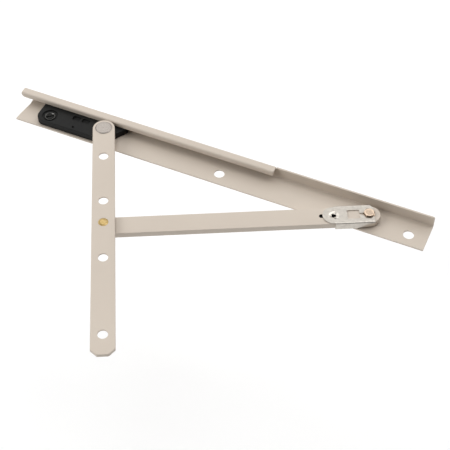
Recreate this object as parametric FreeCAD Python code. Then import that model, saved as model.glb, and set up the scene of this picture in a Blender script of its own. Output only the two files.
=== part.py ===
import FreeCAD, Part
import math
import os

from FreeCAD import Vector

# Casement window stay: a lipped track, a sliding shoe, a flat sash arm and a support arm.
# Millimetres.  +X runs along the track towards the stud, +Y towards its wall, +Z up from the
# sill.  The origin is the axis of the middle screw hole, on the underside of the track.

# ---- track ---------------------------------------------------------------
SHEET = 1.5
TRACK_LENGTH = 381.0
TRACK_RIGHT = 183.7
TRACK_LEFT = TRACK_RIGHT - TRACK_LENGTH
FRONT_Y = -11.1
WALL_Y = 17.9
WALL_HEIGHT = 12.5
PLAIN_HEIGHT = 11.6
LIP_Y = 10.1
LIP_EDGE_Z = 7.7
LIP_RIGHT = 44.9
BASE_LEFT = -189.7
BASE_TIP = -192.0
BASE_BACK = -190.2
SCREW_PITCH = 168.0
SCREW_HOLE_R = 4.45
END_NOTCH_TOP = 4.2
NOSE_R = 2.4
STUD_HOLE_R = 4.0
STUD_FLARE_R = 5.0
STUD_FLARE_TOP = 0.9

# ---- linkage -------------------------------------------------------------
SHOE_PIVOT = Vector(-109.3, -0.2, 0)
STUD = Vector(132.6, 2.5, 0)
SASH_ANGLE = -62.6
LINK_DISTANCE = 107.9
RUNNING = 0.05
GAP = 0.2

# ---- levels --------------------------------------------------------------
SHOE_BOTTOM = SHEET + GAP
SHOE_TOP = 7.5
SUPPORT_BOTTOM = 2.6
SUPPORT_TOP = 8.0
SASH_BOTTOM = 9.3
SASH_TOP = 12.5

# ---- sash arm ------------------------------------------------------------
SASH_WIDTH = 19.05
SASH_REACH = 237.2
SASH_CHAMFER = 5.0
SASH_HOLES = (33.9, 84.6, 144.7, 218.8)
SASH_HOLE_R = 4.05
SASH_SINK_R = 5.9
SASH_LAND = 1.2
EDGE = 0.6

# ---- support arm ---------------------------------------------------------
SUPPORT_WIDTH = 17.6
SUPPORT_END = 0.6
SUPPORT_AXIS = 0.2
BUSH_OUTER_R = 6.0
BUSH_TOP = 7.1
JOURNAL_R = 4.9
DETENT_AT = 29.0
CLIP_TRAVEL = 10.0
DETENT_R = 1.9

# ---- shoe ----------------------------------------------------------------
SHOE_LEFT = -173.5
SHOE_RIGHT = -92.9
SHOE_SLANT_X = -105.7
SHOE_SLANT_Y = 11.6
SHOE_FRONT = -9.3
SHOE_BACK = WALL_Y - SHEET - GAP
RIB_FRONT = LIP_Y + SHEET + 0.3
RIB_TOP = 10.2
RIB_INSET_LEFT = 3.0
RIB_INSET_RIGHT = 2.0
BOSS_TOP = 8.5
BOSS_R = 7.6
CHANNEL_HALF = 5.4
CHANNEL_TOP = 3.2
RIVET_PLATE_LEFT = -8.0
RIVET_PLATE_RIGHT = 4.9
RIVET_PLATE_HALF = 5.8
RIVET_PLATE_THICK = 1.3
PLATE_ROOM = 0.1
POCKET_LEFT = (-142.6, -133.6)
POCKET_LENGTH = 7.3
POCKET_FRONT = 2.6
POCKET_BACK = 7.3
POCKET_R = 1.2
POCKET_DEPTH = 1.6
PIP = Vector(-137.1, -5.8, 0)
PIP_R = 0.9
PIP_DEPTH = 1.2
BRAKE = Vector(-162.4, -1.1, 0)
BRAKE_RING_R = 6.9
BRAKE_RING_WIDTH = 0.9
BRAKE_RING_DEPTH = 0.5
BRAKE_WELL_R = 4.6
INSERT_R = 4.5
BRAKE_SCREW_R = 3.2
BRAKE_FLOOR = 3.7
BRAKE_PAD_TOP = 5.5
BRAKE_PAD_HALF = 3.5
INSERT_SINK = 0.5
SCREW_SINK = 1.0
SCREW_SLOT_HALF = 0.6
SCREW_SLOT_DEPTH = 1.0
SCREW_SLOT_ANGLE = 35.0

# ---- rivets --------------------------------------------------------------
RIVET_R = 3.5
RIVET_HEAD_R = 7.2
RIVET_HEAD_TOP = SASH_TOP + 0.8
RIVET_TAIL_R = 4.6
RIVET_TAIL = 0.8
PIVOT_WASHER_R = 7.4
LINK_PIN_R = 3.0
LINK_HEAD_R = 4.2
LINK_HEAD_DEPTH = 1.6
LINK_CROWN = 0.15
LINK_WASHER_R = 7.4
LINK_TAIL_R = 4.6
LINK_TAIL = 0.8

# ---- clip ----------------------------------------------------------------
CLIP_SHEET = 0.8
CLIP_GAP = 0.1
CLIP_FLANGE_START = -28.4
CLIP_RIGHT = 4.0
CLIP_CORNER_R = 2.6
CLIP_INTURN = 3.4
CLIP_BEND_R = 0.9
CLIP_END_R = 9.2
WINDOW_LEFT = -17.9
WINDOW_RIGHT = -7.8
WINDOW_HALF = 4.6
WINDOW_R = 0.8
KEYWAY_HALF = 1.1
NECK_ROOM = 0.15
DIMPLE_HOLE_R = 1.2
DIMPLE_RIM_R = 3.6
STUD_WASHER_R = 7.8
NECK_R = 2.9
HEX_FLATS = 8.3
HEX_BOTTOM = 9.0
HEX_TOP = 10.6
HEX_TURN = 24.0
HEX_CHAMFER = 0.1
STUD_FLANGE_R = 7.0
STUD_FLANGE_TOP = SHEET + 0.5
TALL = 20.0

UP = Vector(0, 0, 1)
SASH_DIR = Vector(math.cos(math.radians(SASH_ANGLE)), math.sin(math.radians(SASH_ANGLE)), 0)
LINK = SHOE_PIVOT + SASH_DIR * LINK_DISTANCE
SUPPORT_VECTOR = STUD - LINK
SUPPORT_LENGTH = SUPPORT_VECTOR.Length
SUPPORT_ANGLE = math.degrees(math.atan2(SUPPORT_VECTOR.y, SUPPORT_VECTOR.x))


# ---- helpers -------------------------------------------------------------
def cylinder(centre, radius, bottom, top):
    """Upright cylinder between two heights."""
    return Part.makeCylinder(radius, top - bottom, Vector(centre.x, centre.y, bottom), UP)


def cone(centre, bottom_radius, top_radius, bottom, top):
    """Upright cone between two heights."""
    return Part.makeCone(bottom_radius, top_radius, top - bottom, Vector(centre.x, centre.y, bottom), UP)


def ring(centre, outer, inner, bottom, top):
    """Flat washer or sleeve."""
    return cylinder(centre, outer, bottom, top).cut(cylinder(centre, inner, bottom - 1, top + 1))


def block(x0, x1, y0, y1, z0, z1):
    """Box between two corners."""
    return Part.makeBox(x1 - x0, y1 - y0, z1 - z0, Vector(x0, y0, z0))


def rounded_wire(corners, radii):
    """Closed wire through the corners, with each corner rounded by a tangent arc."""
    count = len(corners)
    starts = []
    ends = []
    arcs = []
    for index in range(count):
        corner = corners[index]
        radius = radii[index]
        before = (corners[index - 1] - corner).normalize()
        after = (corners[(index + 1) % count] - corner).normalize()
        if radius <= 0:
            starts.append(corner)
            ends.append(corner)
            arcs.append(None)
            continue
        half = before.getAngle(after) / 2
        setback = radius / math.tan(half)
        start = corner + before * setback
        end = corner + after * setback
        bisector = (before + after).normalize()
        centre = corner + bisector * (radius / math.sin(half))
        middle = centre - bisector * radius
        starts.append(start)
        ends.append(end)
        arcs.append(Part.Arc(start, middle, end).toShape())
    edges = []
    for index in range(count):
        if arcs[index] is not None:
            edges.append(arcs[index])
        following = starts[(index + 1) % count]
        if (following - ends[index]).Length > 1e-6:
            edges.append(Part.makeLine(ends[index], following))
    return Part.Wire(edges)


def plate(corners, radii, bottom, top):
    """Flat plate from plan corners (x, y), with rounded corners."""
    points = [Vector(x, y, bottom) for x, y in corners]
    face = Part.Face(rounded_wire(points, radii))
    return face.extrude(Vector(0, 0, top - bottom))


def section_x(corners, radii, x0, x1):
    """Bar along X from section corners (y, z), with rounded corners."""
    points = [Vector(x0, y, z) for y, z in corners]
    face = Part.Face(rounded_wire(points, radii))
    return face.extrude(Vector(x1 - x0, 0, 0))


def polygon_prism(sides, across_flats, bottom, top):
    """Upright regular prism about the vertical axis."""
    radius = across_flats / 2 / math.cos(math.pi / sides)
    points = []
    for index in range(sides + 1):
        angle = 2 * math.pi * index / sides
        points.append(Vector(radius * math.cos(angle), radius * math.sin(angle), bottom))
    return Part.Face(Part.makePolygon(points)).extrude(Vector(0, 0, top - bottom))


def soften(shape, amount, heights):
    """Round the flat outline edges that lie at the given heights."""
    edges = []
    for edge in shape.Edges:
        box = edge.BoundBox
        for height in heights:
            if abs(box.ZMin - height) < 1e-4 and abs(box.ZMax - height) < 1e-4:
                edges.append(edge)
    return shape.makeFillet(amount, edges)


def placed(shape, origin, angle):
    """Turn a shape modelled along X about the vertical and move it to its origin."""
    result = shape.copy()
    result.rotate(Vector(0, 0, 0), UP, angle)
    result.translate(Vector(origin.x, origin.y, 0))
    return result


# ---- track ---------------------------------------------------------------
def make_track():
    inner_y = WALL_Y - SHEET
    lip_inner_y = LIP_Y + SHEET
    lip_inner_z = WALL_HEIGHT - SHEET
    lipped = section_x(
        [(FRONT_Y, 0), (WALL_Y, 0), (WALL_Y, WALL_HEIGHT), (LIP_Y, WALL_HEIGHT), (LIP_Y, LIP_EDGE_Z),
         (lip_inner_y, LIP_EDGE_Z), (lip_inner_y, lip_inner_z), (inner_y, lip_inner_z), (inner_y, SHEET),
         (FRONT_Y, SHEET)],
        [0.3, 2.0, 2.0, 1.6, 0.5, 0.4, 0.3, 0.5, 0.5, 0.5],
        TRACK_LEFT, LIP_RIGHT)
    plain = section_x(
        [(FRONT_Y, 0), (WALL_Y, 0), (WALL_Y, PLAIN_HEIGHT), (inner_y, PLAIN_HEIGHT), (inner_y, SHEET),
         (FRONT_Y, SHEET)],
        [0.3, 2.0, 0.4, 0.4, 0.5, 0.5],
        LIP_RIGHT, TRACK_RIGHT)
    track = lipped.fuse(plain)
    end_notch = plate(
        [(TRACK_LEFT - 1, FRONT_Y - 1), (BASE_TIP, FRONT_Y - 1), (BASE_TIP, FRONT_Y), (BASE_TIP + 0.5, -4.0),
         (BASE_LEFT, 10.0), (BASE_BACK, WALL_Y - 2), (BASE_BACK, WALL_Y + 1), (TRACK_LEFT - 1, WALL_Y + 1)],
        [0, 0, 0, 5.0, 5.0, 0, 0, 0],
        -1, END_NOTCH_TOP)
    track = track.cut(end_notch)
    nose_x = TRACK_LEFT + NOSE_R
    nose_y = LIP_Y + NOSE_R
    nose = block(TRACK_LEFT - 1, nose_x, LIP_Y - 1, nose_y, END_NOTCH_TOP, WALL_HEIGHT + 1)
    nose = nose.cut(cylinder(Vector(nose_x, nose_y, 0), NOSE_R, 0, TALL))
    track = track.cut(nose)
    for column in (-1, 0, 1):
        track = track.cut(cylinder(Vector(column * SCREW_PITCH, 0, 0), SCREW_HOLE_R, -1, SHEET + 1))
    track = track.cut(cylinder(STUD, STUD_HOLE_R, -1, SHEET + 1))
    track = track.cut(cone(STUD, STUD_FLARE_R, STUD_HOLE_R, 0, STUD_FLARE_TOP))
    return track.removeSplitter()


# ---- shoe and its parts --------------------------------------------------
def make_shoe_body():
    body = plate(
        [(SHOE_LEFT, SHOE_FRONT), (SHOE_SLANT_X, SHOE_FRONT), (SHOE_RIGHT, SHOE_SLANT_Y),
         (SHOE_RIGHT, SHOE_BACK), (SHOE_LEFT, SHOE_BACK)],
        [7.6, 3.0, 2.0, 1.0, 1.5],
        SHOE_BOTTOM, SHOE_TOP)
    body = soften(body, EDGE, (SHOE_TOP,))
    rib_left = SHOE_LEFT + RIB_INSET_LEFT
    rib_right = SHOE_RIGHT - RIB_INSET_RIGHT
    rib = plate(
        [(rib_left, RIB_FRONT), (rib_right, RIB_FRONT), (rib_right, SHOE_BACK), (rib_left, SHOE_BACK)],
        [1.2, 1.2, 0.6, 0.6],
        SHOE_TOP - 1, RIB_TOP)
    body = body.fuse(rib)
    body = body.fuse(cylinder(SHOE_PIVOT, BOSS_R, SHOE_TOP - 1, BOSS_TOP))
    body = body.cut(block(SHOE_LEFT - 1, SHOE_RIGHT + 1, -CHANNEL_HALF, CHANNEL_HALF, 0, CHANNEL_TOP))
    plate_half = RIVET_PLATE_HALF + PLATE_ROOM
    plate_left = SHOE_PIVOT.x + RIVET_PLATE_LEFT - PLATE_ROOM
    plate_right = SHOE_PIVOT.x + RIVET_PLATE_RIGHT + PLATE_ROOM
    plate_top = CHANNEL_TOP + RIVET_PLATE_THICK
    body = body.cut(block(plate_left, plate_right, -plate_half, plate_half, 0, plate_top))
    body = body.cut(cylinder(SHOE_PIVOT, RIVET_R, 0, BOSS_TOP + 1))
    ring_inner = BRAKE_RING_R - BRAKE_RING_WIDTH
    body = body.cut(ring(BRAKE, BRAKE_RING_R, ring_inner, SHOE_TOP - BRAKE_RING_DEPTH, SHOE_TOP + 1))
    body = body.cut(cylinder(BRAKE, BRAKE_WELL_R, BRAKE_FLOOR, SHOE_TOP + 1))
    room_half = BRAKE_PAD_HALF + PLATE_ROOM
    body = body.cut(block(BRAKE.x - room_half, BRAKE.x + room_half, BRAKE.y, SHOE_BACK + 1,
                          BRAKE_FLOOR, BRAKE_PAD_TOP + PLATE_ROOM))
    for left in POCKET_LEFT:
        right = left + POCKET_LENGTH
        pocket = plate(
            [(left, POCKET_FRONT), (right, POCKET_FRONT), (right, POCKET_BACK), (left, POCKET_BACK)],
            [POCKET_R] * 4,
            SHOE_TOP - POCKET_DEPTH, SHOE_TOP + 1)
        body = body.cut(pocket)
    body = body.cut(cylinder(PIP, PIP_R, SHOE_TOP - PIP_DEPTH, SHOE_TOP + 1))
    return body.removeSplitter()


def make_shoe_plate():
    left = SHOE_PIVOT.x + RIVET_PLATE_LEFT
    right = SHOE_PIVOT.x + RIVET_PLATE_RIGHT
    half = RIVET_PLATE_HALF
    base = plate(
        [(left, -half), (right, -half), (right, half), (left, half)],
        [1.0, 1.0, 1.0, 1.0],
        CHANNEL_TOP, CHANNEL_TOP + RIVET_PLATE_THICK)
    base = base.cut(cylinder(SHOE_PIVOT, RIVET_R, 0, TALL))
    return base.cut(cone(SHOE_PIVOT, RIVET_TAIL_R, RIVET_R, CHANNEL_TOP, CHANNEL_TOP + RIVET_TAIL))


def make_brake_insert():
    return ring(BRAKE, INSERT_R, BRAKE_SCREW_R + RUNNING, BRAKE_PAD_TOP + PLATE_ROOM, SHOE_TOP - INSERT_SINK)


def make_brake_screw():
    top = SHOE_TOP - SCREW_SINK
    bottom = BRAKE_PAD_TOP - 0.2
    body = soften(cylinder(BRAKE, BRAKE_SCREW_R, bottom, top), 0.4, (top,))
    tip = cone(BRAKE, 0.8, 2.4, BRAKE_FLOOR + 0.1, bottom)
    slot = block(-INSERT_R, INSERT_R, -SCREW_SLOT_HALF, SCREW_SLOT_HALF, top - SCREW_SLOT_DEPTH, top + 1)
    return body.fuse(tip).cut(placed(slot, BRAKE, SCREW_SLOT_ANGLE)).removeSplitter()


def make_brake_pad():
    pad = block(BRAKE.x - BRAKE_PAD_HALF, BRAKE.x + BRAKE_PAD_HALF, BRAKE.y + 0.5, SHOE_BACK + 0.1,
                BRAKE_FLOOR + RUNNING, BRAKE_PAD_TOP)
    pad = pad.cut(cone(BRAKE, 1.0, 2.7, BRAKE_FLOOR, BRAKE_PAD_TOP - 0.2))
    return pad.cut(cylinder(BRAKE, BRAKE_SCREW_R + 0.1, BRAKE_PAD_TOP - 0.3, BRAKE_PAD_TOP + 1))


def make_pivot_rivet():
    shank = cylinder(SHOE_PIVOT, RIVET_R, CHANNEL_TOP, SASH_TOP + 0.1)
    tail = cone(SHOE_PIVOT, RIVET_TAIL_R, RIVET_R, CHANNEL_TOP, CHANNEL_TOP + RIVET_TAIL)
    head = cylinder(SHOE_PIVOT, RIVET_HEAD_R, SASH_TOP + RUNNING, RIVET_HEAD_TOP)
    head = soften(head, 0.35, (RIVET_HEAD_TOP,))
    return shank.fuse([tail, head]).removeSplitter()


def make_pivot_washer():
    return ring(SHOE_PIVOT, PIVOT_WASHER_R, RIVET_R + RUNNING, BOSS_TOP, SASH_BOTTOM - 0.05)


# ---- sash arm and link pivot ---------------------------------------------
def make_sash_arm():
    half = SASH_WIDTH / 2
    reach = SASH_REACH
    cut = SASH_CHAMFER
    bar = plate(
        [(0, -half), (reach - cut, -half), (reach, -half + cut), (reach, half - cut),
         (reach - cut, half), (0, half)],
        [0, 1.0, 1.5, 1.5, 1.0, 0],
        SASH_BOTTOM, SASH_TOP)
    bar = bar.fuse(cylinder(Vector(0, 0, 0), half, SASH_BOTTOM, SASH_TOP)).removeSplitter()
    bar = soften(bar, EDGE, (SASH_BOTTOM, SASH_TOP))
    bar = bar.cut(cylinder(Vector(0, 0, 0), RIVET_R + RUNNING, 0, TALL))
    for at in SASH_HOLES:
        centre = Vector(at, 0, 0)
        bar = bar.cut(cylinder(centre, SASH_HOLE_R, 0, TALL))
        bar = bar.cut(cone(centre, SASH_SINK_R, SASH_HOLE_R, SASH_BOTTOM, SASH_TOP - SASH_LAND))
    link = Vector(LINK_DISTANCE, 0, 0)
    bar = bar.cut(cylinder(link, LINK_PIN_R, 0, TALL))
    bar = bar.cut(cone(link, LINK_PIN_R, LINK_HEAD_R, SASH_TOP - LINK_HEAD_DEPTH, SASH_TOP))
    return placed(bar, SHOE_PIVOT, SASH_ANGLE)


def make_link_pivot_head():
    head = cylinder(LINK, LINK_PIN_R, SASH_BOTTOM, SASH_TOP)
    head = head.fuse(cone(LINK, LINK_PIN_R, LINK_HEAD_R, SASH_TOP - LINK_HEAD_DEPTH, SASH_TOP))
    crown = cone(LINK, LINK_HEAD_R, LINK_HEAD_R - 0.9, SASH_TOP, SASH_TOP + LINK_CROWN)
    return head.fuse(crown).removeSplitter()


def make_link_washer():
    return ring(LINK, LINK_WASHER_R, LINK_PIN_R, SUPPORT_TOP, SASH_BOTTOM - 0.1)


def make_link_pivot_pin():
    pin = cylinder(LINK, LINK_PIN_R, SUPPORT_BOTTOM - 0.4, SASH_BOTTOM - 0.1)
    tail = cylinder(LINK, LINK_TAIL_R, SUPPORT_BOTTOM - LINK_TAIL, SUPPORT_BOTTOM)
    tail = soften(tail, 0.35, (SUPPORT_BOTTOM - LINK_TAIL,))
    return pin.fuse(tail).removeSplitter()


# ---- support arm, clip and stud ------------------------------------------
def make_support_arm():
    half = SUPPORT_WIDTH / 2
    bar = block(-SUPPORT_LENGTH, SUPPORT_END, -half, half, SUPPORT_BOTTOM, SUPPORT_TOP)
    bar = bar.fuse(cylinder(Vector(-SUPPORT_LENGTH, 0, 0), half, SUPPORT_BOTTOM, SUPPORT_TOP))
    bar = bar.fuse(cylinder(Vector(SUPPORT_END, 0, 0), half, SUPPORT_BOTTOM, SUPPORT_TOP)).removeSplitter()
    bar = soften(bar, EDGE, (SUPPORT_BOTTOM, SUPPORT_TOP))
    bar = bar.translated(Vector(0, -SUPPORT_AXIS, 0))
    bar = bar.cut(cylinder(Vector(-SUPPORT_LENGTH, 0, 0), LINK_PIN_R, 0, TALL))
    bar = bar.cut(cylinder(Vector(0, 0, 0), BUSH_OUTER_R, 0, BUSH_TOP))
    bar = bar.cut(cylinder(Vector(0, 0, 0), JOURNAL_R + RUNNING, 0, TALL))
    for at in (DETENT_AT, DETENT_AT + CLIP_TRAVEL):
        bar = bar.cut(cylinder(Vector(-at, 0, 0), DETENT_R, 0, TALL))
    return placed(bar, STUD, SUPPORT_ANGLE)


def make_arm_bushing():
    return ring(STUD, BUSH_OUTER_R, JOURNAL_R + RUNNING, SUPPORT_BOTTOM, BUSH_TOP)


def make_lock_clip():
    inside = SUPPORT_WIDTH / 2 + CLIP_GAP
    outside = inside + CLIP_SHEET
    top_low = SUPPORT_TOP + CLIP_GAP
    top_high = top_low + CLIP_SHEET
    under_high = SUPPORT_BOTTOM - CLIP_GAP
    under_low = under_high - CLIP_SHEET
    inturn = outside - CLIP_INTURN
    through = (top_low - 0.5, top_high + 0.5)
    channel = section_x(
        [(-outside, under_low), (-inturn, under_low), (-inturn, under_high), (-inside, under_high),
         (-inside, top_low), (inside, top_low), (inside, under_high), (inturn, under_high),
         (inturn, under_low), (outside, under_low), (outside, top_high), (-outside, top_high)],
        [CLIP_BEND_R, 0.2, 0.2, 0.1, 0.1, 0.1, 0.1, 0.2, 0.2, CLIP_BEND_R, CLIP_BEND_R, CLIP_BEND_R],
        CLIP_FLANGE_START, CLIP_RIGHT)
    for side in (-1, 1):
        corner = Vector(CLIP_RIGHT, side * outside, 0)
        outer = block(corner.x - CLIP_CORNER_R, corner.x + 1, -CLIP_CORNER_R, CLIP_CORNER_R, 0, TALL)
        outer.translate(Vector(0, corner.y, 0))
        centre = Vector(corner.x - CLIP_CORNER_R, corner.y - side * CLIP_CORNER_R, 0)
        round_end = cylinder(centre, CLIP_CORNER_R, -1, TALL + 1)
        channel = channel.cut(outer.cut(round_end))
    tongue = cylinder(Vector(-DETENT_AT, 0, 0), CLIP_END_R, top_low, top_high)
    clip = channel.fuse(tongue).removeSplitter()
    clip = clip.translated(Vector(0, -SUPPORT_AXIS, 0))
    dimple = Vector(-DETENT_AT, 0, 0)
    clip = clip.cut(cone(dimple, DIMPLE_HOLE_R + 0.4, DIMPLE_RIM_R, top_low, top_high))
    clip = clip.cut(cylinder(dimple, DIMPLE_HOLE_R, 0, TALL))
    window = plate(
        [(WINDOW_LEFT, -WINDOW_HALF), (WINDOW_RIGHT, -WINDOW_HALF), (WINDOW_RIGHT, WINDOW_HALF),
         (WINDOW_LEFT, WINDOW_HALF)],
        [WINDOW_R] * 4,
        *through)
    clip = clip.cut(window)
    neck = NECK_R + NECK_ROOM
    clip = clip.cut(block(WINDOW_RIGHT - 0.2, 0, -KEYWAY_HALF, KEYWAY_HALF, *through))
    clip = clip.cut(cylinder(Vector(0, 0, 0), neck, *through))
    clip = clip.cut(block(0, TALL, -neck, neck, *through))
    clip = clip.cut(block(-STUD_WASHER_R - 0.8, TALL, -inside - 1, inside + 1, 0, SUPPORT_BOTTOM - 0.02))
    return placed(clip, STUD, SUPPORT_ANGLE)


def make_hex_stud():
    tail = cylinder(STUD, STUD_HOLE_R - RUNNING, RUNNING, SHEET + GAP)
    flare = cone(STUD, STUD_FLARE_R - RUNNING, STUD_HOLE_R - RUNNING, RUNNING, STUD_FLARE_TOP)
    flange = cylinder(STUD, STUD_FLANGE_R, SHEET + RUNNING, STUD_FLANGE_TOP)
    journal = cylinder(STUD, JOURNAL_R, SHEET + 0.3, SUPPORT_TOP - 0.1)
    neck = cylinder(STUD, NECK_R, SUPPORT_TOP - 0.2, HEX_BOTTOM + 0.1)
    head = placed(polygon_prism(6, HEX_FLATS, HEX_BOTTOM, HEX_TOP), STUD, HEX_TURN)
    chamfer_rise = 2.3
    trim = cone(STUD, HEX_FLATS / 2 - HEX_CHAMFER + chamfer_rise, HEX_FLATS / 2 - HEX_CHAMFER,
                HEX_BOTTOM - 1.2, HEX_TOP)
    head = head.common(trim)
    return tail.fuse([flare, flange, journal, neck, head]).removeSplitter()


def make_stud_washer():
    inner = JOURNAL_R + RUNNING
    return ring(STUD, STUD_WASHER_R, inner, STUD_FLANGE_TOP + RUNNING, SUPPORT_BOTTOM - RUNNING)


NODES = {
    "track": make_track,
    "shoe_body": make_shoe_body,
    "shoe_rivet_plate": make_shoe_plate,
    "brake_insert": make_brake_insert,
    "brake_screw": make_brake_screw,
    "brake_pad": make_brake_pad,
    "pivot_rivet": make_pivot_rivet,
    "pivot_washer": make_pivot_washer,
    "sash_arm": make_sash_arm,
    "link_pivot_head": make_link_pivot_head,
    "link_spacer_washer": make_link_washer,
    "link_pivot_pin": make_link_pivot_pin,
    "support_arm": make_support_arm,
    "support_arm_bushing": make_arm_bushing,
    "lock_clip": make_lock_clip,
    "hex_stud": make_hex_stud,
    "stud_washer": make_stud_washer,
}

os.makedirs("parts", exist_ok=True)
for name, maker in NODES.items():
    shape = maker()
    shape.exportStep(os.path.join("parts", name + ".step"))
    box = shape.BoundBox
    print(name, shape.isValid(), len(shape.Solids), round(shape.Volume, 1),
          [round(v, 2) for v in (box.XMin, box.YMin, box.ZMin, box.XMax, box.YMax, box.ZMax)])
print("link", LINK, "support length", SUPPORT_LENGTH, "support angle", SUPPORT_ANGLE)
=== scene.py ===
import math

import bmesh
import bpy
from mathutils import Matrix, Vector


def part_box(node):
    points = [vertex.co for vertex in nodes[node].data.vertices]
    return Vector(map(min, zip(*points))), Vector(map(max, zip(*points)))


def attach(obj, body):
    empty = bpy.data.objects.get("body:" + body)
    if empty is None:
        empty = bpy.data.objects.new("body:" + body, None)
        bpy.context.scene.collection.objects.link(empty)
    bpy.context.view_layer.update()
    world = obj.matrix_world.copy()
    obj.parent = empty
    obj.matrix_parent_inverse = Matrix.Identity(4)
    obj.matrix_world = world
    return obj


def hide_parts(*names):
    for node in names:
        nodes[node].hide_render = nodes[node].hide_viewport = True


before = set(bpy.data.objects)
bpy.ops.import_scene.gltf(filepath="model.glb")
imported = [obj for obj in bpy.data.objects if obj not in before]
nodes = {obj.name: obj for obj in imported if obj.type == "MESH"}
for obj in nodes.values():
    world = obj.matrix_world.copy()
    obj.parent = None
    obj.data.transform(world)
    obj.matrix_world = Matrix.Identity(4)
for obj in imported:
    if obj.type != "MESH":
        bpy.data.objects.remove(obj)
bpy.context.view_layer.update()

MM = 0.001


# ---- camera and studio ---------------------------------------------------
SENSOR_MM = 36.0
LENS_MM = 95.45
CAMERA_PLACE = (0.2843, -0.6323, 0.7396)
CAMERA_ELEVATION = math.radians(49.26)
CAMERA_AZIMUTH = math.radians(-23.81)
NEAR_CLIP, FAR_CLIP = 0.05, 20.0

WORLD_STRENGTH = 0.15
LIGHT_DISTANCE = 5.6
LIGHT_SIZE = 3.0
# name, azimuth, elevation (degrees, seen from the object) and power (watts)
SOFTBOXES = (
    ("zenith", 0, 90, 40.0),
    ("back_low", 0, 32, 55.0),
    ("back_right_low", 45, 32, 46.0),
    ("front_left_low", 225, 32, 122.0),
    ("left_low", 270, 32, 32.0),
    ("back_left_low", 315, 32, 56.0),
    ("back_right_high", 45, 62, 69.0),
    ("back_left_high", 315, 62, 45.0),
)
FLOOR_HALF = 20.0
FLOOR_HEIGHT = -0.25
FLOOR_GLOW = 0.11


def direction(azimuth, elevation):
    """Unit vector towards an azimuth (from +Y towards +X) and an elevation."""
    return Vector((math.sin(azimuth) * math.cos(elevation), math.cos(azimuth) * math.cos(elevation),
                   math.sin(elevation)))


def make_camera():
    """A long lens above the front of the track, looking down along its length."""
    data = bpy.data.cameras.new("camera")
    data.sensor_width = SENSOR_MM
    data.lens = LENS_MM
    data.clip_start = NEAR_CLIP
    data.clip_end = FAR_CLIP
    camera = bpy.data.objects.new("camera", data)
    bpy.context.scene.collection.objects.link(camera)
    forward = direction(CAMERA_AZIMUTH, -CAMERA_ELEVATION)
    right = Vector((math.cos(CAMERA_AZIMUTH), -math.sin(CAMERA_AZIMUTH), 0.0))
    up = right.cross(forward)
    rotation = Matrix((right, up, -forward)).transposed()
    camera.matrix_world = Matrix.Translation(CAMERA_PLACE) @ rotation.to_4x4()
    bpy.context.scene.camera = camera


def area_light(name, place, size, power):
    """A square soft box that looks at the origin."""
    data = bpy.data.lights.new(name, "AREA")
    data.shape = "SQUARE"
    data.size = size
    data.energy = power
    light = bpy.data.objects.new(name, data)
    light.location = place
    light.rotation_euler = (-Vector(place)).to_track_quat("-Z", "Y").to_euler()
    bpy.context.scene.collection.objects.link(light)


def make_studio():
    """White surroundings, eight soft boxes and a plain pale floor."""
    scene = bpy.context.scene
    scene.view_settings.view_transform = "Standard"
    scene.view_settings.look = "None"
    world = bpy.data.worlds.new("studio")
    world.use_nodes = True
    background = world.node_tree.nodes["Background"]
    background.inputs["Color"].default_value = (1.0, 1.0, 1.0, 1.0)
    background.inputs["Strength"].default_value = WORLD_STRENGTH
    scene.world = world
    for name, azimuth, elevation, power in SOFTBOXES:
        place = direction(math.radians(azimuth), math.radians(elevation)) * LIGHT_DISTANCE
        area_light(name, place, LIGHT_SIZE, power)

    mesh = bpy.data.meshes.new("floor")
    form = bmesh.new()
    bmesh.ops.create_grid(form, x_segments=1, y_segments=1, size=FLOOR_HALF)
    form.to_mesh(mesh)
    form.free()
    floor = bpy.data.objects.new("floor", mesh)
    floor.location = (0.0, 0.0, FLOOR_HEIGHT)
    scene.collection.objects.link(floor)
    floor.data.materials.append(floor_paper())


# ---- materials -----------------------------------------------------------
def new_material(name):
    material = bpy.data.materials.new(name)
    material.use_nodes = True
    tree = material.node_tree
    tree.nodes.clear()
    output = tree.nodes.new("ShaderNodeOutputMaterial")
    shader = tree.nodes.new("ShaderNodeBsdfPrincipled")
    tree.links.new(shader.outputs["BSDF"], output.inputs["Surface"])
    return material, tree, shader


def object_coordinates(tree):
    return tree.nodes.new("ShaderNodeTexCoord").outputs["Object"]


def noise_texture(tree, vector, scale, detail=4.0, roughness=0.55):
    node = tree.nodes.new("ShaderNodeTexNoise")
    node.inputs["Scale"].default_value = scale
    node.inputs["Detail"].default_value = detail
    node.inputs["Roughness"].default_value = roughness
    tree.links.new(vector, node.inputs["Vector"])
    return node.outputs["Fac"]


def ramp(tree, value, stops):
    node = tree.nodes.new("ShaderNodeValToRGB")
    elements = node.color_ramp.elements
    while len(elements) < len(stops):
        elements.new(0.5)
    for element, (position, colour) in zip(elements, stops):
        element.position = position
        element.color = (*colour, 1.0)
    tree.links.new(value, node.inputs["Fac"])
    return node.outputs["Color"]


def span(tree, value, low, high):
    node = tree.nodes.new("ShaderNodeMapRange")
    node.inputs["To Min"].default_value = low
    node.inputs["To Max"].default_value = high
    tree.links.new(value, node.inputs["Value"])
    return node.outputs["Result"]


def bump(tree, height, strength, distance):
    node = tree.nodes.new("ShaderNodeBump")
    node.inputs["Strength"].default_value = strength
    node.inputs["Distance"].default_value = distance
    tree.links.new(height, node.inputs["Height"])
    return node.outputs["Normal"]


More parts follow.
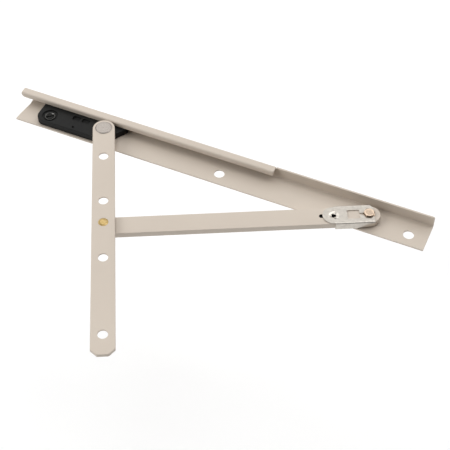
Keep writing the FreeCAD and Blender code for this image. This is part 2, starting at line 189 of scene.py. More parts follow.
def floor_paper():
    material, tree, shader = new_material("floor_paper")
    vector = object_coordinates(tree)
    tone = noise_texture(tree, vector, 3.0, 2.0)
    tree.links.new(ramp(tree, tone, [(0.3, (0.90, 0.90, 0.90)), (0.7, (0.92, 0.92, 0.92))]),
                   shader.inputs["Base Color"])
    shader.inputs["Roughness"].default_value = 0.9
    shader.inputs["Emission Color"].default_value = (1.0, 1.0, 1.0, 1.0)
    shader.inputs["Emission Strength"].default_value = FLOOR_GLOW
    return material


def powder_coat():
    """Stone powder coat: a fine orange peel, with a slow drift in tone."""
    material, tree, shader = new_material("stone_powder_coat")
    vector = object_coordinates(tree)
    drift = noise_texture(tree, vector, 18.0, 3.0)
    tree.links.new(ramp(tree, drift, [(0.25, (0.585, 0.508, 0.428)), (0.75, (0.615, 0.536, 0.453))]),
                   shader.inputs["Base Color"])
    peel = noise_texture(tree, vector, 900.0, 3.0, 0.5)
    tree.links.new(span(tree, peel, 0.36, 0.46), shader.inputs["Roughness"])
    tree.links.new(bump(tree, peel, 0.25, 0.00008), shader.inputs["Normal"])
    return material


def moulded_nylon():
    material, tree, shader = new_material("black_nylon")
    vector = object_coordinates(tree)
    drift = noise_texture(tree, vector, 60.0, 4.0)
    tree.links.new(ramp(tree, drift, [(0.3, (0.006, 0.006, 0.006)), (0.7, (0.010, 0.010, 0.009))]),
                   shader.inputs["Base Color"])
    grain = noise_texture(tree, vector, 2200.0, 2.0)
    tree.links.new(span(tree, grain, 0.42, 0.60), shader.inputs["Roughness"])
    shader.inputs["Specular IOR Level"].default_value = 0.16
    tree.links.new(bump(tree, grain, 0.3, 0.00006), shader.inputs["Normal"])
    return material


def metal(name, dark, light, rough_low, rough_high, scale):
    material, tree, shader = new_material(name)
    vector = object_coordinates(tree)
    drift = noise_texture(tree, vector, scale, 5.0, 0.6)
    tree.links.new(ramp(tree, drift, [(0.3, dark), (0.7, light)]), shader.inputs["Base Color"])
    shader.inputs["Metallic"].default_value = 1.0
    grain = noise_texture(tree, vector, scale * 6.0, 3.0)
    tree.links.new(span(tree, grain, rough_low, rough_high), shader.inputs["Roughness"])
    tree.links.new(bump(tree, grain, 0.2, 0.00004), shader.inputs["Normal"])
    return material


def natural_acetal():
    material, tree, shader = new_material("natural_acetal")
    vector = object_coordinates(tree)
    drift = noise_texture(tree, vector, 200.0)
    tree.links.new(ramp(tree, drift, [(0.3, (0.72, 0.70, 0.65)), (0.7, (0.78, 0.76, 0.71))]),
                   shader.inputs["Base Color"])
    shader.inputs["Roughness"].default_value = 0.42
    return material


# ---- mesh building (millimetres, scaled when placed) ----------------------
def rounded(corners, radii, segments=6):
    """Outline through the corners, each rounded by a tangent arc."""
    points = []
    count = len(corners)
    for index in range(count):
        here = Vector(corners[index])
        radius = radii[index]
        if radius <= 0.0:
            points.append(tuple(here))
            continue
        before = (Vector(corners[index - 1]) - here).normalized()
        after = (Vector(corners[(index + 1) % count]) - here).normalized()
        half = before.angle(after) / 2.0
        centre = here + (before + after).normalized() * (radius / math.sin(half))
        arm = here + before * (radius / math.tan(half)) - centre
        last = here + after * (radius / math.tan(half)) - centre
        sweep = math.atan2(arm.x * last.y - arm.y * last.x, arm.dot(last))
        for step in range(segments + 1):
            turned = arm.copy()
            turned.rotate(Matrix.Rotation(sweep * step / segments, 2))
            points.append(tuple(centre + turned))
    return points


SHARPEST_MITRE = 0.4


def shifted(points, amount):
    """Outline moved inwards; the outline runs counter-clockwise."""
    moved = []
    count = len(points)
    for index in range(count):
        here = Vector(points[index])
        first = (here - Vector(points[index - 1])).normalized()
        second = (Vector(points[(index + 1) % count]) - here).normalized()
        normal = Vector((-first.y - second.y, first.x + second.x))
        normal /= max(1.0 + first.dot(second), SHARPEST_MITRE)
        moved.append(tuple(here + normal * amount))
    return moved


def circle(x, y, radius, count=48):
    turns = [2.0 * math.pi * index / count for index in range(count)]
    return [(x + radius * math.cos(turn), y + radius * math.sin(turn)) for turn in turns]


def loop(form, points, height):
    """New vertices on an outline, all at one height."""
    return [form.verts.new((x, y, height)) for x, y in points]


def band(form, lower, upper):
    """Faces between two loops of equal length."""
    count = len(lower)
    for index in range(count):
        following = (index + 1) % count
        form.faces.new((lower[index], lower[following], upper[following], upper[index]))


def closed_edges(form, verts):
    """The edges round a loop, made where they are missing."""
    edges = []
    for index in range(len(verts)):
        pair = (verts[index - 1], verts[index])
        edge = form.edges.get(pair)
        edges.append(edge if edge is not None else form.edges.new(pair))
    return edges


def wall(form, outline, steps, grow=1.0):
    """Loops down a wall: steps are (inset, height). Returns the first and last loop.

    With grow at -1 the insets go outwards, as in a pocket.
    """
    loops = []
    for inset, height in steps:
        loops.append(loop(form, shifted(outline, inset * grow), height))
    for first, second in zip(loops, loops[1:]):
        band(form, first, second)
    return loops[0], loops[-1]


LOBE_INNER_R, LOBE_OUTER_R = 1.9, 4.3


def turned_wall(form, x, y, steps, count=48, lobes=0.0):
    """Loops down a round wall: steps are (radius, height).

    Lobes raise and lower three flanks of a pressed dimple.
    """
    loops = []
    for radius, height in steps:
        verts = loop(form, circle(x, y, radius, count), height)
        if lobes > 0.0 and LOBE_INNER_R < radius < LOBE_OUTER_R:
            for index, vert in enumerate(verts):
                vert.co.z += lobes * math.cos(3.0 * math.tau * index / count)
        loops.append(verts)
    for first, second in zip(loops, loops[1:]):
        band(form, first, second)
    return loops[0], loops[-1]


def keep(ends, tops, bottoms):
    """Files the first loop of a wall with the tops and the last with the bottoms."""
    tops.append(ends[0])
    bottoms.append(ends[1])


def caps(form, tops, bottoms):
    """Closes the flat top and the flat bottom, each between the outline and its holes."""
    for group in (tops, bottoms):
        edges = []
        for verts in group:
            edges += closed_edges(form, verts)
        bmesh.ops.triangle_fill(form, use_beauty=True, use_dissolve=False, edges=edges)


def lathe(form, profile, count=48):
    """Closed turned solid: profile is (radius, height) from the flat top round to the flat bottom."""
    loops = [loop(form, circle(0.0, 0.0, radius, count), height) for radius, height in profile]
    for first, second in zip(loops, loops[1:]):
        band(form, first, second)
    form.faces.new(loops[0])
    form.faces.new(list(reversed(loops[-1])))


ARC_NEAR = 0.293  # 1 - cos 45 degrees, the middle of a rounded edge


def rim(top, bottom, edge):
    """Wall steps between two heights with both edges rounded."""
    near = edge * ARC_NEAR
    return [(edge, top), (near, top - near), (0.0, top - edge), (0.0, bottom + edge), (near, bottom + near),
            (edge, bottom)]


def hole_rim(radius, top, bottom, edge):
    """The same for a round hole, with its radius in place of the inset."""
    near = edge * ARC_NEAR
    return [(radius + edge, top), (radius + near, top - near), (radius, top - edge), (radius, bottom + edge),
            (radius + near, bottom + near), (radius + edge, bottom)]


def at(x, y, angle=0.0):
    """Placement in metres for a form drawn in millimetres round its own axis."""
    place = Matrix.Translation((x, y, 0.0)) @ Matrix.Rotation(angle, 4, "Z")
    return place @ Matrix.Diagonal((MM, MM, MM, 1.0))


def darken(form, holes, radius, low, high):
    """Gives the faces inside round holes the piece's second material, a near-black painted shade for the dark
    inside of the holes.
    """
    for face in form.faces:
        middle = face.calc_center_median()
        if low < middle.z < high and any(math.hypot(middle.x - x, middle.y - y) < radius for x, y in holes):
            face.material_index = 1


def piece(name, form, placement, material, body, replaced, crease=32.0, second=None):
    """Turns a form into a visible piece on its body, in place of the CAD nodes."""
    bmesh.ops.recalc_face_normals(form, faces=form.faces)
    form.transform(placement)
    mesh = bpy.data.meshes.new(name)
    form.to_mesh(mesh)
    form.free()
    for polygon in mesh.polygons:
        polygon.use_smooth = True
    mesh.set_sharp_from_angle(angle=math.radians(crease))
    mesh.materials.append(material)
    if second is not None:
        mesh.materials.append(second)
    made = bpy.data.objects.new(name, mesh)
    bpy.context.scene.collection.objects.link(made)
    weighted = made.modifiers.new("flat faces stay flat", "WEIGHTED_NORMAL")
    weighted.keep_sharp = True
    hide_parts(*replaced)
    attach(made, body)
    return made


def centre_of(node):
    low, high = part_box(node)
    return (low[0] + high[0]) / 2.0, (low[1] + high[1]) / 2.0


# ---- folded sheet ---------------------------------------------------------
SMALL = 1e-9
MERGE = 1e-5


def bent(path, run, height):
    """(across, up) for a developed length and a height above the sheet's middle.

    The path is a list of (length, radius, turn), where turn is 0 for a flat, 1 up or -1 down.
    """
    place = Vector((0.0, 0.0))
    heading = 0.0
    for length, radius, turn in path:
        step = min(run, length)
        if turn == 0:
            place += Vector((math.cos(heading), math.sin(heading))) * step
        else:
            centre = place + Vector((-math.sin(heading), math.cos(heading))) * radius * turn
            arm = place - centre
            arm.rotate(Matrix.Rotation(step / radius * turn, 2))
            place = centre + arm
            heading += step / radius * turn
        run -= step
        if run <= SMALL:
            break
    normal = Vector((-math.sin(heading), math.cos(heading)))
    return place + normal * height


def score(form, path, sides=(1,), parts=6):
    """Cuts a flat sheet along each bend line so that it can bend."""
    run = 0.0
    for length, radius, turn in path:
        if turn != 0:
            for step in range(parts + 1):
                for side in sides:
                    geometry = form.verts[:] + form.edges[:] + form.faces[:]
                    cut = side * (run + length * step / parts)
                    bmesh.ops.bisect_plane(form, geom=geometry, dist=MERGE, plane_no=(0, 1, 0),
                                           plane_co=(0, cut, 0))
        run += length


QUARTER = math.pi / 2.0
SHEET = 1.5
FRONT_Y, WALL_Y, LIP_TOP, PLAIN_TOP = -11.1, 17.9, 12.5, 11.6
LIP_Y, LIP_EDGE, LIP_RIGHT = 10.1, 7.7, 44.9
TRACK_LEFT, TRACK_RIGHT = -197.3, 183.7
BASE_TIP, BASE_BACK, BASE_LEFT, BASE_FRONT = -192.0, -190.2, -189.7, -191.5
BASE_BACK_Y, BASE_LEFT_Y, BASE_FRONT_Y = 15.9, 10.0, -4.0
SCREW_PITCH, SCREW_R = 168.0, 4.45
TRACK_BEND, LIP_BEND = 1.25, 0.78
BEND_OUTSIDE = TRACK_BEND + SHEET / 2.0
LONG_RUN = 50.0
RELIEF = 0.5
NOTCH_RISE = 2.2
CUT_EDGE = 0.3
STUD_HOLE_R, STUD_FLARE_R, STUD_FLARE_HEIGHT = 4.05, 5.0, -0.1


def make_track():
    """The folded track: laid out flat with its holes and notch, then bent round three corners."""
    half = SHEET / 2.0
    corner = (TRACK_BEND * QUARTER, TRACK_BEND, 1)
    lip_corner = (LIP_BEND * QUARTER, LIP_BEND, 1)
    floor_run = WALL_Y - BEND_OUTSIDE - FRONT_Y
    wall_run = LIP_TOP - 2.0 * BEND_OUTSIDE
    top_run = WALL_Y - BEND_OUTSIDE - (LIP_Y + LIP_BEND + half)
    lip_run = LIP_TOP - LIP_BEND - half - LIP_EDGE
    lipped = [(floor_run, 0, 0), corner, (wall_run, 0, 0), corner, (top_run, 0, 0), lip_corner,
              (LONG_RUN, 0, 0)]
    plain = [(floor_run, 0, 0), corner, (LONG_RUN, 0, 0)]
    wall_start = floor_run + corner[0]
    relief = wall_start + wall_run - 0.3
    plain_end = wall_start + PLAIN_TOP - BEND_OUTSIDE
    lip_end = wall_start + wall_run + corner[0] + top_run + lip_corner[0] + lip_run
    notch_top = wall_start + NOTCH_RISE

    def run(y):
        return y - FRONT_Y

    # each corner of the flat blank with its radius
    blank = [((BASE_TIP, 0.0), 0.6), ((TRACK_RIGHT, 0.0), 0.8), ((TRACK_RIGHT, plain_end), 1.2),
             ((LIP_RIGHT + RELIEF, plain_end), 0.5), ((LIP_RIGHT + RELIEF, relief), 0.0),
             ((LIP_RIGHT, relief), 0.0), ((LIP_RIGHT, lip_end), 1.0), ((TRACK_LEFT, lip_end), 3.2),
             ((TRACK_LEFT, notch_top), 1.2), ((BASE_BACK, notch_top), 0.8),
             ((BASE_BACK, run(BASE_BACK_Y)), 1.5), ((BASE_LEFT, run(BASE_LEFT_Y)), 4.0),
             ((BASE_FRONT, run(BASE_FRONT_Y)), 6.0)]
    outline = rounded([point for point, _ in blank], [radius for _, radius in blank], 5)
    form = bmesh.new()
    tops, bottoms = [], []
    keep(wall(form, outline, rim(half, -half, CUT_EDGE)), tops, bottoms)
    screw_rim = hole_rim(SCREW_R, half, -half, CUT_EDGE)
    for column in (-1, 0, 1):
        keep(turned_wall(form, column * SCREW_PITCH, run(0.0), screw_rim), tops, bottoms)
    stud = centre_of("hex_stud")
    stud_rim = [(STUD_HOLE_R, half), (STUD_HOLE_R, STUD_FLARE_HEIGHT), (STUD_FLARE_R, -half)]
    keep(turned_wall(form, stud[0] / MM, run(stud[1] / MM), stud_rim, 40), tops, bottoms)
    caps(form, tops, bottoms)
    score(form, lipped)
    for vert in form.verts:
        path = plain if vert.co.x > LIP_RIGHT + RELIEF / 2.0 else lipped
        across, up = bent(path, vert.co.y, vert.co.z)
        vert.co = (vert.co.x, across + FRONT_Y, up + half)
    return piece("track_sheet", form, at(0.0, 0.0), paint, "track", ["track"])


# ---- arms -----------------------------------------------------------------
SASH_LOW, SASH_HIGH = 9.3, 12.5
SASH_HALF, SASH_REACH, SASH_CUT = 9.525, 237.2, 5.0
SASH_HOLES = (33.9, 84.6, 144.7, 218.8)
SASH_HOLE_R, SASH_LAND, SASH_SINK_R = 4.05, 1.2, 6.0
ARM_LOW, ARM_HIGH, ARM_HALF, ARM_SHIFT = 2.6, 8.0, 8.8, -0.2
ARM_END = 0.6
ARM_EDGE = 0.6
PIVOT_HOLE_R, LINK_HOLE_R = 3.56, 3.02
LINK_SINK_R, LINK_SINK_DEPTH = 4.32, 1.62
DETENTS = ((-29.0, 0.0), (-39.0, 0.0))
DETENT_R = 1.9
BORE_MARGIN = 0.1
JOURNAL_HOLE_R, BUSH_HOLE_R, BUSH_TOP = 4.96, 6.01, 7.11


def half_circle(x, y, radius, start, count=28):
    turns = [start + math.pi * index / count for index in range(count + 1)]
    return [(x + radius * math.cos(turn), y + radius * math.sin(turn)) for turn in turns]


def make_sash_arm():
    """The flat bar from the rivet: four countersunk screw holes, the brass head's cone and a cut tip."""
    pivot = Vector(centre_of("pivot_rivet"))
    link = Vector(centre_of("link_pivot_head"))
    reach = (link - pivot).length / MM
    angle = math.atan2(link.y - pivot.y, link.x - pivot.x)
    tip = rounded([(SASH_REACH - SASH_CUT, -SASH_HALF), (SASH_REACH, -SASH_HALF + SASH_CUT),
                   (SASH_REACH, SASH_HALF - SASH_CUT), (SASH_REACH - SASH_CUT, SASH_HALF), (0.0, 0.0)],
                  [1.0, 1.5, 1.5, 1.0, 0.0], 4)[:-1]
    outline = tip + half_circle(0.0, 0.0, SASH_HALF, QUARTER)
    form = bmesh.new()
    tops, bottoms = [], []
    keep(wall(form, outline, rim(SASH_HIGH, SASH_LOW, ARM_EDGE)), tops, bottoms)
    sunk = [(SASH_HOLE_R + 0.25, SASH_HIGH), (SASH_HOLE_R + 0.07, SASH_HIGH - 0.08),
            (SASH_HOLE_R, SASH_HIGH - 0.25), (SASH_HOLE_R, SASH_HIGH - SASH_LAND),
            (SASH_SINK_R - 0.3, SASH_LOW + 0.15), (SASH_SINK_R, SASH_LOW)]
    for distance in SASH_HOLES:
        keep(turned_wall(form, distance, 0.0, sunk), tops, bottoms)
    link_sink = [(LINK_SINK_R, SASH_HIGH), (LINK_SINK_R - 0.1, SASH_HIGH - 0.1),
                 (LINK_HOLE_R, SASH_HIGH - LINK_SINK_DEPTH), (LINK_HOLE_R, SASH_LOW)]
    keep(turned_wall(form, reach, 0.0, link_sink), tops, bottoms)
    keep(turned_wall(form, 0.0, 0.0, [(PIVOT_HOLE_R, SASH_HIGH), (PIVOT_HOLE_R, SASH_LOW)]), tops, bottoms)
    caps(form, tops, bottoms)
    return piece("sash_arm_bar", form, at(pivot.x, pivot.y, angle), paint, "sash_arm",
                 ["sash_arm"])


def arm_frame():
    """Stud, link distance and direction of the support arm."""
    stud = Vector(centre_of("hex_stud"))
    link = Vector(centre_of("link_pivot_head"))
    return stud, (stud - link).length / MM, math.atan2(stud.y - link.y, stud.x - link.x)


def make_support_arm():
    """The bar from the stud to the link pivot, drawn with the stud at its origin and the link at -X."""
    stud, length, angle = arm_frame()
    outline = half_circle(ARM_END, ARM_SHIFT, ARM_HALF, -QUARTER)
    outline += half_circle(-length, ARM_SHIFT, ARM_HALF, QUARTER)
    form = bmesh.new()
    tops, bottoms = [], []
    keep(wall(form, outline, rim(ARM_HIGH, ARM_LOW, ARM_EDGE)), tops, bottoms)
    keep(turned_wall(form, -length, 0.0, hole_rim(LINK_HOLE_R, ARM_HIGH, ARM_LOW, 0.15), 36), tops, bottoms)
    for x, y in DETENTS:
        keep(turned_wall(form, x, y, hole_rim(DETENT_R, ARM_HIGH, ARM_LOW, 0.25), 36), tops, bottoms)
    bush_room = [(JOURNAL_HOLE_R + 0.14, ARM_HIGH), (JOURNAL_HOLE_R, ARM_HIGH - 0.15),
                 (JOURNAL_HOLE_R, BUSH_TOP), (BUSH_HOLE_R, BUSH_TOP), (BUSH_HOLE_R, ARM_LOW)]
    keep(turned_wall(form, 0.0, 0.0, bush_room), tops, bottoms)
    caps(form, tops, bottoms)
    # the walls of the detent holes get near-black painted shade
    darken(form, DETENTS, DETENT_R + BORE_MARGIN, ARM_LOW + 0.3, ARM_HIGH - BORE_MARGIN)
    return piece("support_arm_bar", form, at(stud.x, stud.y, angle), paint, "support_arm",
                 ["support_arm"], second=painted_hole_shade)


# ---- clip -----------------------------------------------------------------
CLIP_SHEET = 0.8
CLIP_MIDDLE = 8.5
CLIP_FLAT = 7.6
CLIP_LIFT = 1.1
CLIP_LIFT_R = 5.0
CLIP_BEND = 0.5
CLIP_DROP = 5.5
CLIP_EDGE = 0.18
CLIP_LEFT, CLIP_RIGHT, CLIP_UNDER_RIGHT, CLIP_STEP = -28.4, 4.0, -9.3, 1.6
CLIP_INTURN = 2.2
TONGUE_LEFT, TONGUE_HALF = -38.2, 8.6
NECK_HALF, KEYWAY_HALF = 3.05, 1.1
KEYWAY_RIGHT = -3.0
WINDOW_LEFT, WINDOW_RIGHT, WINDOW_HALF = -17.9, -7.8, 4.6
DIMPLE_LOBES, DIMPLE_BORE_R = 0.24, 1.86


def make_lock_clip():
    """The sprung clip, laid out flat with its window and tongue, then bent down both sides and under."""
    stud, _, angle = arm_frame()
    lift = CLIP_LIFT / CLIP_LIFT_R
    path = [(CLIP_FLAT, 0, 0), (CLIP_LIFT, CLIP_LIFT_R, 1), (CLIP_BEND * (QUARTER + lift), CLIP_BEND, -1),
            (CLIP_DROP, 0, 0), (CLIP_BEND * QUARTER, CLIP_BEND, -1), (LONG_RUN, 0, 0)]
    side = CLIP_FLAT + CLIP_LIFT + CLIP_BEND * (QUARTER + lift)
    short = side + CLIP_DROP - 0.2
    long = side + CLIP_DROP + CLIP_BEND * QUARTER + CLIP_INTURN
    # each corner of the flat blank with its radius: outside, then the neck, the keyway and the window
    blank = [((CLIP_RIGHT, -NECK_HALF), 0.3), ((CLIP_RIGHT, 1.2 - short), 0.8),
             ((CLIP_UNDER_RIGHT, -short), 0.4), ((CLIP_UNDER_RIGHT, -long), 0.5),
             ((CLIP_LEFT, -long), 0.6), ((CLIP_LEFT, -TONGUE_HALF), 0.25),
             ((TONGUE_LEFT, -TONGUE_HALF), 8.4), ((TONGUE_LEFT, TONGUE_HALF), 8.4),
             ((CLIP_LEFT, TONGUE_HALF), 0.25), ((CLIP_LEFT, long), 0.6),
             ((CLIP_UNDER_RIGHT, long), 0.5), ((CLIP_UNDER_RIGHT, short), 0.4),
             ((CLIP_STEP, short), 0.6), ((CLIP_STEP, side - 0.6), 0.8),
             ((CLIP_RIGHT, 6.6), 1.2), ((CLIP_RIGHT, NECK_HALF), 0.3),
             ((KEYWAY_RIGHT, NECK_HALF), 1.8), ((KEYWAY_RIGHT, KEYWAY_HALF), 0.3),
             ((WINDOW_RIGHT, KEYWAY_HALF), 0.3), ((WINDOW_RIGHT, WINDOW_HALF), 0.7),
             ((WINDOW_LEFT, WINDOW_HALF), 0.7), ((WINDOW_LEFT, -WINDOW_HALF), 0.7),
             ((WINDOW_RIGHT, -WINDOW_HALF), 0.7), ((WINDOW_RIGHT, -KEYWAY_HALF), 0.3),
             ((KEYWAY_RIGHT, -KEYWAY_HALF), 0.3), ((KEYWAY_RIGHT, -NECK_HALF), 1.8)]
    outline = list(reversed(rounded([point for point, _ in blank], [radius for _, radius in blank], 7)))
    form = bmesh.new()
    half = CLIP_SHEET / 2.0
    first, last = wall(form, outline, rim(half, -half, CLIP_EDGE))
    # down the dished top, through the bore, and back up the underside of the sheet
    dimple = [(4.6, half), (4.2, 0.36), (3.6, 0.2), (3.0, -0.04), (2.4, -0.28), (2.0, -0.44), (1.82, -0.6),
              (1.74, -0.85), (1.7, -1.25), (1.78, -1.3), (1.84, -1.0), (1.88, -0.7), (2.7, -0.44),
              (4.7, -half)]
    top_ring, bottom_ring = turned_wall(form, *DETENTS[0], dimple, 48, DIMPLE_LOBES)
    caps(form, [first, top_ring], [last, bottom_ring])
    # the dimple's bore gets near-black painted shade
    darken(form, DETENTS[:1], DIMPLE_BORE_R, -1.4, -0.4)
    score(form, path, (1, -1), 5)
    for vert in form.verts:
        run = vert.co.y
        across, up = bent(path, abs(run), vert.co.z)
        vert.co = (vert.co.x, math.copysign(across, run) + ARM_SHIFT, up + CLIP_MIDDLE)
    return piece("lock_clip_spring", form, at(stud.x, stud.y, angle), zinc, "lock_clip",
                 ["lock_clip"], crease=40.0, second=painted_hole_shade)


# ---- stud and rivets ------------------------------------------------------
HEX_TURN = math.radians(24.0)
HEX_FLATS, HEX_LOW, HEX_HIGH = 8.3, 9.0, 10.6
HEX_STEPS = 72
CLEAR_R = 9.0
NECK_R, JOURNAL_R, COLLAR_R, FOOT_R, CLOSED_R = 2.88, 4.88, 7.0, 3.94, 4.9
JOURNAL_HIGH, COLLAR_HIGH, COLLAR_LOW = 7.9, 2.0, 1.56
RIVET_HEAD_R, RIVET_SHANK_R, RIVET_TAIL_R = 7.2, 3.5, 4.6
RIVET_HIGH, RIVET_UNDER, RIVET_LOW = 13.3, 12.56, 3.22
LINK_HEAD_R, LINK_SHANK_R = 4.14, 2.98
LINK_HIGH, LINK_CONE_LOW, LINK_LOW = 12.64, 10.86, 9.32


def make_hex_stud():
    """The turned stud, closed under the track, with its undercut hexagon on a thin neck."""
    stud = centre_of("hex_stud")
    form = bmesh.new()
    lathe(form, [(NECK_R, HEX_LOW + 0.3), (NECK_R, JOURNAL_HIGH), (4.5, JOURNAL_HIGH),
                 (4.8, JOURNAL_HIGH - 0.08), (JOURNAL_R, JOURNAL_HIGH - 0.3), (JOURNAL_R, COLLAR_HIGH + 0.02),
                 (COLLAR_R - 0.2, COLLAR_HIGH), (COLLAR_R, COLLAR_HIGH - 0.1), (COLLAR_R, COLLAR_LOW),
                 (FOOT_R, COLLAR_LOW), (FOOT_R, 0.96), (CLOSED_R, 0.08), (CLOSED_R - 0.3, 0.06)])
    apothem = HEX_FLATS / 2.0
    sector = math.pi / 3.0

    def edge_radius(angle):
        return apothem / math.cos((angle % sector) - sector / 2.0)

    def ring(limit, height, drop):
        """A loop no wider than the limit, lower at the hexagon's corners by the drop."""
        verts = []
        for step in range(HEX_STEPS):
            angle = math.tau * step / HEX_STEPS
            turned = angle + HEX_TURN
            radius = min(edge_radius(angle), limit)
            lowered = height - drop * max(0.0, edge_radius(angle) - apothem)
            verts.append(form.verts.new((radius * math.cos(turned), radius * math.sin(turned), lowered)))
        return verts

    loops = [ring(1.2, HEX_HIGH, 0.0), ring(2.4, HEX_HIGH - 0.02, 0.0),
             ring(apothem - 0.45, HEX_HIGH - 0.08, 0.0), ring(apothem - 0.12, HEX_HIGH - 0.2, 0.0),
             ring(CLEAR_R, HEX_HIGH - 0.42, 0.62), ring(CLEAR_R, HEX_LOW + 0.75, 0.0),
             ring(apothem - 0.5, HEX_LOW + 0.3, 0.0), ring(apothem - 0.9, HEX_LOW, 0.0),
             ring(2.5, HEX_LOW, 0.0)]
    for first, second in zip(loops, loops[1:]):
        band(form, first, second)
    form.faces.new(loops[0])
    form.faces.new(list(reversed(loops[-1])))
    return piece("hex_stud_turned", form, at(*stud), yellow_zinc, "hex_stud", ["hex_stud"],
                 crease=24.0)


def make_pivot_rivet():
    """The flat-headed rivet: a shallow rounded head, its shank and its closed tail."""
    pivot = centre_of("pivot_rivet")
    form = bmesh.new()
    lathe(form, [(1.0, RIVET_HIGH - 0.06), (2.6, RIVET_HIGH - 0.02), (4.6, RIVET_HIGH), (6.2, RIVET_HIGH),
                 (6.5, RIVET_HIGH - 0.05), (7.0, RIVET_HIGH - 0.44), (RIVET_HEAD_R, RIVET_HIGH - 0.56),
                 (RIVET_HEAD_R, RIVET_HIGH - 0.64), (6.7, RIVET_UNDER), (RIVET_SHANK_R, RIVET_UNDER),
                 (RIVET_SHANK_R, 4.05), (RIVET_TAIL_R, RIVET_LOW), (2.0, RIVET_LOW)], 64)
    return piece("pivot_rivet_headed", form, at(*pivot), steel, "shoe", ["pivot_rivet"],
                 crease=50.0)


def make_link_head():
    """The brass countersunk head: a low dome, a groove inside its rim, the cone and the shank."""
    link = centre_of("link_pivot_head")
    form = bmesh.new()
    lathe(form, [(0.8, LINK_HIGH - 0.02), (2.0, LINK_HIGH), (2.7, LINK_HIGH - 0.04),
                 (3.05, LINK_HIGH - 0.24), (3.4, LINK_HIGH - 0.5), (3.7, LINK_HIGH - 0.52),
                 (4.0, LINK_HIGH - 0.38), (LINK_HEAD_R, LINK_HIGH - 0.28), (LINK_SHANK_R, LINK_CONE_LOW),
                 (LINK_SHANK_R, LINK_LOW), (1.5, LINK_LOW)], 56)
    return piece("link_pivot_brass", form, at(*link), brass, "sash_arm", ["link_pivot_head"],
                 crease=50.0)


# ---- shoe and brake -------------------------------------------------------
SHOE_LOW, SHOE_TOP = 1.7, 7.5
SHOE_LEFT, SHOE_RIGHT, SHOE_FRONT, SHOE_BACK = -173.5, -92.9, -9.3, 16.2
SHOE_SLANT_X, SHOE_SLANT_Y = -105.7, 11.6
POCKETS_X, POCKET_LENGTH, POCKET_FRONT, POCKET_BACK = (-142.6, -133.6), 7.3, 2.6, 7.3
PIP_X, PIP_Y = -137.1, -5.8
WELL_R, WELL_FLOOR = 4.6, 3.7
GROOVE_DEPTH = 1.0
BOSS_R, BOSS_RISE = 7.58, 1.0
RIB_LOW, RIB_HIGH, RIB_BACK = 6.6, 10.2, 16.19
RIB_INSET_LEFT, RIB_INSET_RIGHT, RIB_GAP = 3.0, 2.0, 1.8
RING_R, RING_LOW, RING_HIGH = 4.5, 5.62, 7.0


def sink(form, ends, tops):
    """Files the first loop of a blind hole with the tops and closes its floor."""
    tops.append(ends[0])
    form.faces.new(ends[1])


def make_shoe():
    """The moulded shoe: body with brake well, groove, pivot boss and pockets, and the rib under the lip."""
    pivot = centre_of("pivot_rivet")
    brake = centre_of("brake_insert")
    outline = rounded([(SHOE_LEFT, SHOE_FRONT), (SHOE_SLANT_X, SHOE_FRONT), (SHOE_RIGHT, SHOE_SLANT_Y),
                       (SHOE_RIGHT, SHOE_BACK), (SHOE_LEFT, SHOE_BACK)], [7.6, 3.0, 2.0, 1.0, 1.5], 8)
    form = bmesh.new()
    tops, bottoms = [], []
    body_steps = [(0.6, SHOE_TOP), (0.3, SHOE_TOP - 0.07), (0.09, SHOE_TOP - 0.24), (0.0, SHOE_TOP - 0.55),
                  (0.0, SHOE_LOW + 0.3), (0.3, SHOE_LOW)]
    keep(wall(form, outline, body_steps), tops, bottoms)
    # the groove round the collar, the collar's rounded top, and the well inside it
    collar = [(7.2, SHOE_TOP), (7.0, SHOE_TOP - 0.08), (6.9, SHOE_TOP - 0.5), (6.7, SHOE_TOP - GROOVE_DEPTH),
              (5.6, SHOE_TOP - GROOVE_DEPTH), (5.3, SHOE_TOP - 0.3), (5.15, SHOE_TOP - 0.12),
              (4.75, SHOE_TOP - 0.15), (WELL_R, SHOE_TOP - 0.6), (WELL_R, WELL_FLOOR)]
    sink(form, turned_wall(form, brake[0] / MM, brake[1] / MM, collar, 56), tops)
    boss = [(BOSS_R + 0.12, SHOE_TOP), (BOSS_R + 0.04, SHOE_TOP + 0.1), (BOSS_R, SHOE_TOP + 0.7),
            (7.45, SHOE_TOP + 0.93), (7.2, SHOE_TOP + BOSS_RISE), (3.7, SHOE_TOP + BOSS_RISE),
            (PIVOT_HOLE_R, SHOE_TOP + 0.8), (PIVOT_HOLE_R, SHOE_LOW)]
    keep(turned_wall(form, pivot[0] / MM, pivot[1] / MM, boss, 56), tops, bottoms)
    pocket_steps = [(0.3, SHOE_TOP), (0.08, SHOE_TOP - 0.1), (0.0, SHOE_TOP - 0.35), (-0.15, SHOE_TOP - 1.3),
                    (-0.5, SHOE_TOP - 1.6)]
    for left in POCKETS_X:
        right = left + POCKET_LENGTH
        pocket = rounded([(left, POCKET_FRONT), (right, POCKET_FRONT), (right, POCKET_BACK),
                          (left, POCKET_BACK)], [1.1] * 4, 5)
        sink(form, wall(form, pocket, pocket_steps, -1.0), tops)
    pip_steps = [(1.2, SHOE_TOP), (1.0, SHOE_TOP - 0.1), (0.9, SHOE_TOP - 0.4), (0.8, SHOE_TOP - 1.2)]
    sink(form, turned_wall(form, PIP_X, PIP_Y, pip_steps, 24), tops)
    caps(form, tops, bottoms)
    rib_left = SHOE_LEFT + RIB_INSET_LEFT
    rib_right = SHOE_RIGHT - RIB_INSET_RIGHT
    rib_front = LIP_Y + RIB_GAP
    rib = rounded([(rib_left, rib_front), (rib_right, rib_front), (rib_right, RIB_BACK),
                   (rib_left, RIB_BACK)], [1.2, 1.2, 0.5, 0.5], 5)
    first, last = wall(form, rib, rim(RIB_HIGH, RIB_LOW, 0.35))
    caps(form, [first], [last])
    return piece("shoe_moulding", form, at(0.0, 0.0), nylon, "shoe", ["shoe_body"],
                 crease=34.0)


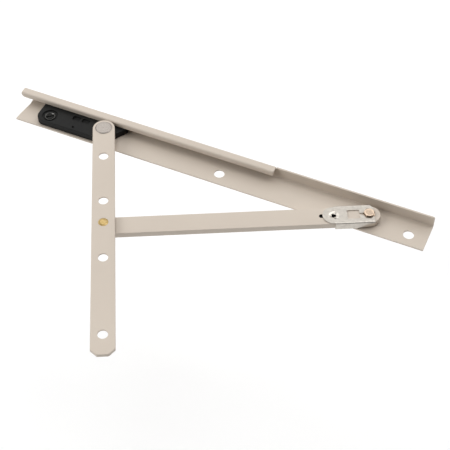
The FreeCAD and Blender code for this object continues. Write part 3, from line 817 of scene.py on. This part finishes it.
def make_brake_ring():
    """The metal ring in the well, coned inside towards the screw."""
    brake = centre_of("brake_insert")
    form = bmesh.new()
    steps = [(RING_R, RING_HIGH - 0.2), (RING_R - 0.05, RING_HIGH - 0.06), (RING_R - 0.15, RING_HIGH),
             (RING_R - 0.3, RING_HIGH), (RING_R - 0.45, RING_HIGH - 0.07), (3.35, RING_LOW + 0.4),
             (3.27, RING_LOW), (RING_R, RING_LOW)]
    loops = [loop(form, circle(0.0, 0.0, radius, 48), height) for radius, height in steps]
    for first, second in zip(loops, loops[1:] + loops[:1]):
        band(form, first, second)
    return piece("brake_ring", form, at(*brake), ring_steel, "shoe", ["brake_insert"],
                 crease=50.0)


make_camera()
make_studio()

paint = powder_coat()
nylon = moulded_nylon()
zinc = metal("zinc_plate", (0.50, 0.465, 0.42), (0.62, 0.58, 0.52), 0.24, 0.40, 350.0)
steel = metal("rivet_steel", (0.30, 0.27, 0.25), (0.44, 0.40, 0.36), 0.35, 0.5, 900.0)
ring_steel = metal("ring_steel", (0.10, 0.10, 0.096), (0.18, 0.176, 0.168), 0.3, 0.45, 900.0)
# near black: a dark steel screw, darkened further as painted shade of the deep well it sits in
screw_steel_and_well_shade = metal("screw_steel_and_well_shade", (0.012, 0.012, 0.012), (0.025, 0.025, 0.023), 0.35, 0.5, 900.0)
# near black: painted shade for the dark inside of small holes, not a finish the part has
painted_hole_shade = metal("hole_painted_shade", (0.010, 0.010, 0.009), (0.018, 0.017, 0.016), 0.5, 0.6, 900.0)
brass = metal("brass", (0.40, 0.28, 0.11), (0.50, 0.37, 0.17), 0.25, 0.4, 500.0)
yellow_zinc = metal("yellow_zinc", (0.52, 0.41, 0.31), (0.68, 0.53, 0.41), 0.22, 0.4, 500.0)
acetal = natural_acetal()

# pieces that are shown as they were modelled, with their finishes
FINISH = {
    "brake_pad": nylon,
    "shoe_rivet_plate": steel,
    # the brake screw's near-black steel is partly painted shade of its well
    "brake_screw": screw_steel_and_well_shade,
    "pivot_washer": acetal,
    "stud_washer": acetal,
    "link_pivot_pin": brass,
    "support_arm_bushing": brass,
    "link_spacer_washer": steel,
}
for node_name, finish in FINISH.items():
    mesh = nodes[node_name].data
    mesh.materials.clear()
    mesh.materials.append(finish)

make_track()
make_sash_arm()
make_support_arm()
make_lock_clip()
make_hex_stud()
make_pivot_rivet()
make_link_head()
make_shoe()
make_brake_ring()
